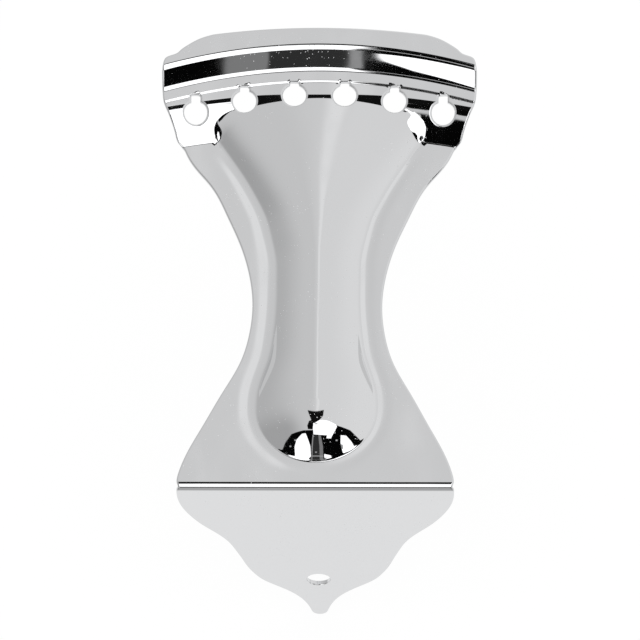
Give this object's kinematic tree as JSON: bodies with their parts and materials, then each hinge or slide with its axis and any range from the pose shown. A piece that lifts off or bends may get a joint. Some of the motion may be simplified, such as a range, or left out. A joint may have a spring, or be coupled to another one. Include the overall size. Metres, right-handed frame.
{
  "type": "guitar tailpiece",
  "caption": "Waisted pressed-metal guitar tailpiece with a folded end-pin flange, a raised centre ridge and keyhole slots for ball-end strings under a stepped, bowed hood.",
  "frame": {"origin": "centre of the end-pin hole on the inner face of the flange, the face that stands against the end of the body", "axes": "+Y along the plate towards the bridge, +Z out of the guitar's top, +X towards the treble side"},
  "size_m": [0.0632, 0.1006, 0.0626],
  "materials": {
    "chrome_plate": "polished chrome plate on steel"
  },
  "bodies": {
    "root": {"tailpiece_plate": "chrome_plate"}
  },
  "joints": []
}
